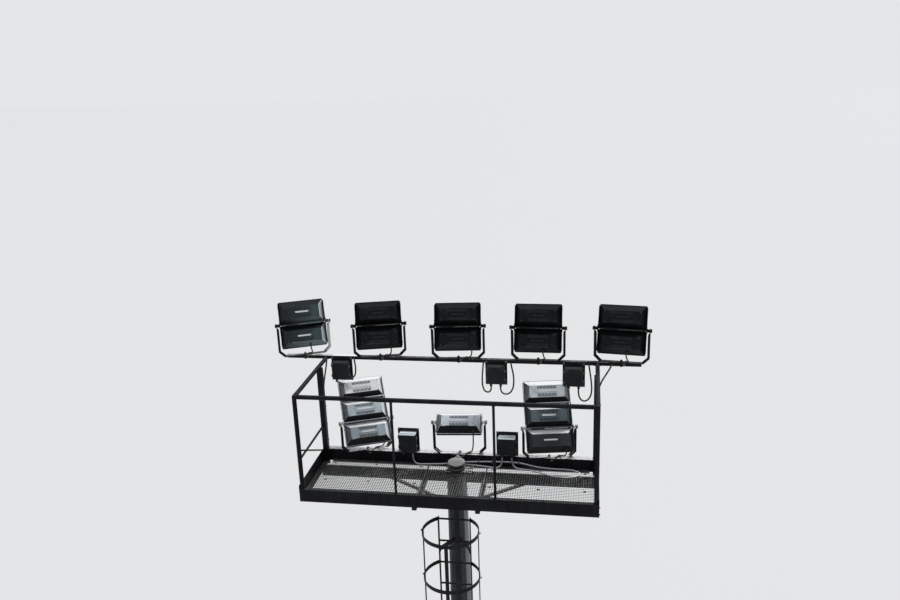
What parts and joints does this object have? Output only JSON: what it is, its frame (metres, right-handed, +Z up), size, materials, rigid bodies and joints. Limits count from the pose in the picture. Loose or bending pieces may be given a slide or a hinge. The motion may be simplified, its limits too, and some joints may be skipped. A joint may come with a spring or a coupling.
{
  "type": "stadium floodlight pylon",
  "caption": "Tapered steel mast with caged ladder, guarded service platform and aimable stadium floodlights on two arms.",
  "frame": {"origin": "centre of the base flange's underside, on the pole axis", "axes": "+Z up the pole, +Y towards the pitch the lamps light, +X to the right along the lamp arms"},
  "size_m": [4.2864, 1.6798, 26.3295],
  "materials": {
    "zinc": "weathered hot-dip zinc",
    "dark_steel": "dark weathered steel",
    "grating": "weathered zinc grating",
    "lamp_dark": "dark cast housing",
    "lamp_pale": "pale grey cast housing",
    "yoke_dark": "dark steel bar",
    "yoke_zinc": "zinc steel bar",
    "gear_housing": "dark housing",
    "cable": "black sheath"
  },
  "bodies": {
    "pylon": {"base_flange": "zinc", "pole_lower": "zinc", "pole_middle": "zinc", "pole_upper": "dark_steel", "head_spigot": "zinc", "head_bracket": "dark_steel", "service_door": "zinc", "ladder_lower": "dark_steel", "ladder_middle": "dark_steel", "ladder_upper": "dark_steel", "cage_lower": "dark_steel", "cage_middle": "dark_steel", "cage_upper": "dark_steel", "main_beam": "dark_steel", "hatch_bearers": "dark_steel", "under_braces": "dark_steel", "frame_rear": "dark_steel", "frame_left": "dark_steel", "frame_right": "dark_steel", "floor_left": "grating", "floor_middle": "grating", "floor_right": "grating", "guardrail_rear": "dark_steel", "guardrail_left": "dark_steel", "guardrail_right": "dark_steel", "upper_arm": "dark_steel", "lower_arm": "dark_steel", "gear_boxes_upper": "gear_housing", "gear_boxes_lower": "gear_housing", "cables_upper": "cable", "cables_lower": "cable"},
    "yoke_1": {"yoke_1": "yoke_dark"},
    "lamp_1": {"lamp_1": "lamp_dark"},
    "yoke_2": {"yoke_2": "yoke_dark"},
    "lamp_2": {"lamp_2": "lamp_dark"},
    "yoke_3": {"yoke_3": "yoke_dark"},
    "lamp_3": {"lamp_3": "lamp_dark"},
    "yoke_4": {"yoke_4": "yoke_dark"},
    "lamp_4": {"lamp_4": "lamp_dark"},
    "yoke_5": {"yoke_5": "yoke_dark"},
    "lamp_5": {"lamp_5": "lamp_dark"},
    "yoke_6": {"yoke_6": "yoke_zinc"},
    "lamp_6": {"lamp_6": "lamp_pale"},
    "yoke_7": {"yoke_7": "yoke_zinc"},
    "lamp_7": {"lamp_7": "lamp_pale"},
    "yoke_8": {"yoke_8": "yoke_zinc"},
    "lamp_8": {"lamp_8": "lamp_pale"}
  },
  "joints": [
    {"name": "yoke_1_turn", "type": "hinge", "parent": "pylon", "child": "yoke_1", "pos_m": [-1.83, 0.398, 25.708], "axis": [0, 0, 1], "range_deg": [-20, 20]},
    {"name": "lamp_1_tilt", "type": "hinge", "parent": "yoke_1", "child": "lamp_1", "pos_m": [-1.83, 0.398, 26.093], "axis": [0.9135, 0.4067, 0], "range_deg": [-40, 30]},
    {"name": "yoke_2_turn", "type": "hinge", "parent": "pylon", "child": "yoke_2", "pos_m": [-0.92, 0.398, 25.708], "axis": [0, 0, 1], "range_deg": [-20, 20]},
    {"name": "lamp_2_tilt", "type": "hinge", "parent": "yoke_2", "child": "lamp_2", "pos_m": [-0.92, 0.398, 26.093], "axis": [0.9703, 0.2419, 0], "range_deg": [-40, 30]},
    {"name": "yoke_3_turn", "type": "hinge", "parent": "pylon", "child": "yoke_3", "pos_m": [0, 0.398, 25.708], "axis": [0, 0, 1], "range_deg": [-20, 20]},
    {"name": "lamp_3_tilt", "type": "hinge", "parent": "yoke_3", "child": "lamp_3", "pos_m": [0, 0.398, 26.093], "axis": [0.9945, 0.1045, 0], "range_deg": [-40, 30]},
    {"name": "yoke_4_turn", "type": "hinge", "parent": "pylon", "child": "yoke_4", "pos_m": [0.91, 0.398, 25.708], "axis": [0, 0, 1], "range_deg": [-20, 20]},
    {"name": "lamp_4_tilt", "type": "hinge", "parent": "yoke_4", "child": "lamp_4", "pos_m": [0.91, 0.398, 26.093], "axis": [1, 0, 0], "range_deg": [-40, 30]},
    {"name": "yoke_5_turn", "type": "hinge", "parent": "pylon", "child": "yoke_5", "pos_m": [1.83, 0.398, 25.708], "axis": [0, 0, 1], "range_deg": [-20, 20]},
    {"name": "lamp_5_tilt", "type": "hinge", "parent": "yoke_5", "child": "lamp_5", "pos_m": [1.83, 0.398, 26.093], "axis": [0.9925, -0.1219, 0], "range_deg": [-40, 30]},
    {"name": "yoke_6_turn", "type": "hinge", "parent": "pylon", "child": "yoke_6", "pos_m": [-1.075, 0.1575, 24.63], "axis": [0, 0, 1], "range_deg": [-20, 20]},
    {"name": "lamp_6_tilt", "type": "hinge", "parent": "yoke_6", "child": "lamp_6", "pos_m": [-1.075, 0.1575, 24.992], "axis": [0.9205, 0.3907, 0], "range_deg": [-30, 2]},
    {"name": "yoke_7_turn", "type": "hinge", "parent": "pylon", "child": "yoke_7", "pos_m": [0.02, 0.1575, 24.63], "axis": [0, 0, 1], "range_deg": [-25, 25]},
    {"name": "lamp_7_tilt", "type": "hinge", "parent": "yoke_7", "child": "lamp_7", "pos_m": [0.02, 0.1575, 25.015], "axis": [0.9962, 0.0872, 0], "range_deg": [-30, 50]},
    {"name": "yoke_8_turn", "type": "hinge", "parent": "pylon", "child": "yoke_8", "pos_m": [1.045, 0.1575, 24.63], "axis": [0, 0, 1], "range_deg": [-10, 20]},
    {"name": "lamp_8_tilt", "type": "hinge", "parent": "yoke_8", "child": "lamp_8", "pos_m": [1.045, 0.1575, 24.992], "axis": [0.9848, 0.1736, 0], "range_deg": [-30, 2]}
  ]
}
